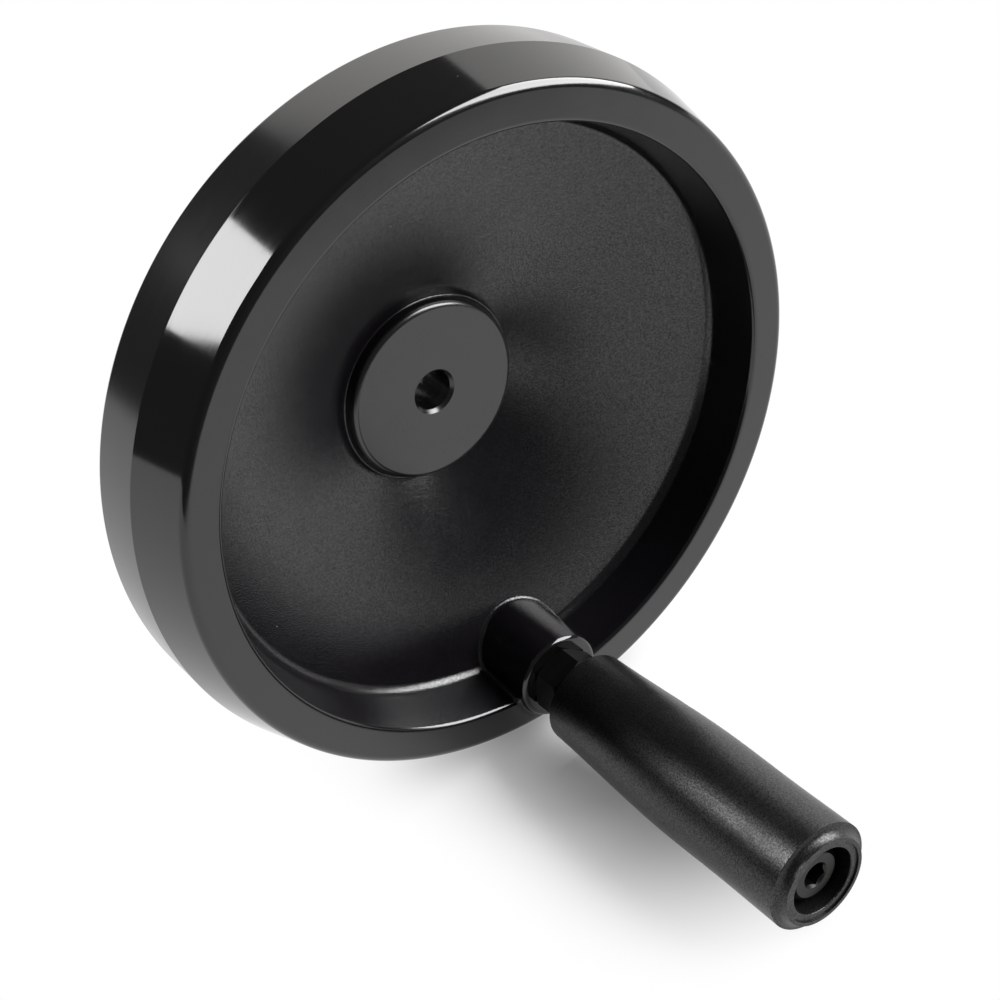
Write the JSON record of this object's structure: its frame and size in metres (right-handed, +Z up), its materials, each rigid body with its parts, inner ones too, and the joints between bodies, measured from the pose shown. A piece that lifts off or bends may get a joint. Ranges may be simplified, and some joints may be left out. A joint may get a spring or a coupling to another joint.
{
  "type": "machine handwheel",
  "caption": "Solid-disc machine handwheel with a dished web, a hub with a plain pilot bore and a revolving handle that stands out of a boss near the rim.",
  "frame": {"origin": "centre of the hub's rear face, on the axis of the bore", "axes": "+Y along the axis of the wheel, from the front towards the machine; the front of the wheel and the handle look along -Y; +Z up, with the handle straight below the axis"},
  "size_m": [0.16, 0.1327, 0.16],
  "materials": {
    "wheel_casting": "gloss",
    "spindle_steel": "satin",
    "grip_plastic": "satin",
    "ring_steel": "satin"
  },
  "bodies": {
    "wheel": {"wheel": "wheel_casting", "handle_spindle": "spindle_steel", "retaining_ring": "ring_steel"},
    "grip": {"grip": "grip_plastic"}
  },
  "joints": [
    {"name": "grip_spin", "type": "hinge", "parent": "wheel", "child": "grip", "pos_m": [0, -0.1, -0.065], "axis": [0, -1, 0], "continuous": true}
  ]
}
